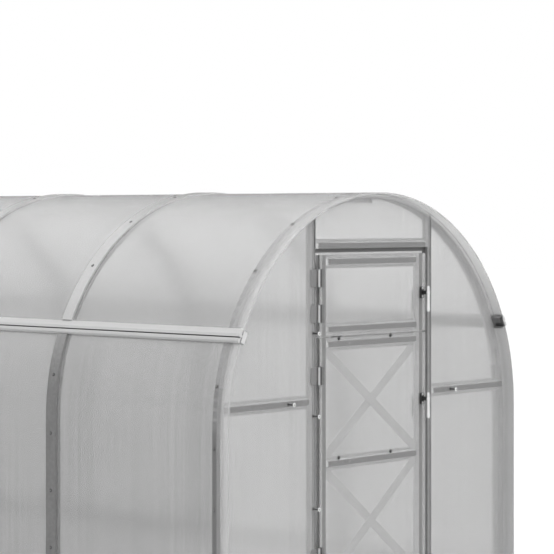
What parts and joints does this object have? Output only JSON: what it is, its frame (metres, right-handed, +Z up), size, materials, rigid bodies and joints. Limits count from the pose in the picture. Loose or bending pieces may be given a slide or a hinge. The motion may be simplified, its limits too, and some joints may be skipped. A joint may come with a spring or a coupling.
{
  "type": "arched greenhouse",
  "caption": "Arched walk-in greenhouse of translucent twin-wall sheets on a rolled steel frame, with a stable door in one end.",
  "frame": {"origin": "centre of the footprint, on the ground", "axes": "+X across the house to the right of someone facing the door, +Y along the house from the door end, +Z up"},
  "size_m": [2.016, 4.162, 1.858],
  "materials": {
    "galvanised_steel": "galvanised",
    "strip_metal": "satin",
    "twin_wall_sheet": "translucent ribbed",
    "hinge_steel": "bright zinc",
    "black_metal": "black",
    "bright_steel": "bright"
  },
  "bodies": {
    "root": {"front_arch_bow": "galvanised_steel", "second_arch_bow": "galvanised_steel", "third_arch_bow": "galvanised_steel", "fourth_arch_bow": "galvanised_steel", "rear_arch_bow": "galvanised_steel", "left_arch_legs": "galvanised_steel", "right_arch_legs": "galvanised_steel", "left_arch_splices": "galvanised_steel", "right_arch_splices": "galvanised_steel", "left_base_rails": "galvanised_steel", "right_base_rails": "galvanised_steel", "ridge_purlin": "galvanised_steel", "left_joint_strip": "strip_metal", "right_joint_strip": "strip_metal", "roof_sheet_1": "twin_wall_sheet", "roof_sheet_2": "twin_wall_sheet", "roof_sheet_3": "twin_wall_sheet", "roof_sheet_4": "twin_wall_sheet", "left_wall_sheets": "twin_wall_sheet", "right_wall_sheets": "twin_wall_sheet", "roof_strap_1": "galvanised_steel", "roof_strap_2": "galvanised_steel", "roof_strap_3": "galvanised_steel", "left_wall_straps": "galvanised_steel", "right_wall_straps": "galvanised_steel", "left_door_post": "galvanised_steel", "right_door_post": "galvanised_steel", "door_header": "galvanised_steel", "front_side_rails": "galvanised_steel", "front_base_rails": "galvanised_steel", "front_left_sheet": "twin_wall_sheet", "front_right_sheet": "twin_wall_sheet", "front_top_sheet": "twin_wall_sheet", "rear_posts": "galvanised_steel", "rear_rails": "galvanised_steel", "rear_base_rails": "galvanised_steel", "rear_gable_sheet": "twin_wall_sheet", "fixed_hinge_halves": "hinge_steel"},
    "lower_door": {"lower_door_stiles": "galvanised_steel", "lower_door_rails": "galvanised_steel", "lower_door_braces": "galvanised_steel", "lower_door_sheet": "twin_wall_sheet", "lower_door_hinge_halves": "hinge_steel", "lower_lock_plates": "black_metal"},
    "upper_door": {"upper_door_stiles": "galvanised_steel", "upper_door_rails": "galvanised_steel", "upper_door_sheet": "twin_wall_sheet", "upper_door_hinge_halves": "hinge_steel", "upper_lock_plates": "black_metal"},
    "lower_handle": {"lower_handle": "bright_steel"},
    "upper_handle": {"upper_handle": "bright_steel"}
  },
  "joints": [
    {"name": "lower_door_hinge", "type": "hinge", "parent": "root", "child": "lower_door", "pos_m": [-0.384, -2.042, 0.65], "axis": [0, 0, -1], "range_deg": [0, 110]},
    {"name": "upper_door_hinge", "type": "hinge", "parent": "root", "child": "upper_door", "pos_m": [-0.384, -2.042, 1.396], "axis": [0, 0, -1], "range_deg": [0, 110]},
    {"name": "lower_handle_turn", "type": "hinge", "parent": "lower_door", "child": "lower_handle", "pos_m": [0.339, -2.036, 0.906], "axis": [0, 1, 0], "range_deg": [0, 90]},
    {"name": "upper_handle_turn", "type": "hinge", "parent": "upper_door", "child": "upper_handle", "pos_m": [0.339, -2.036, 1.394], "axis": [0, 1, 0], "range_deg": [0, 90]}
  ]
}
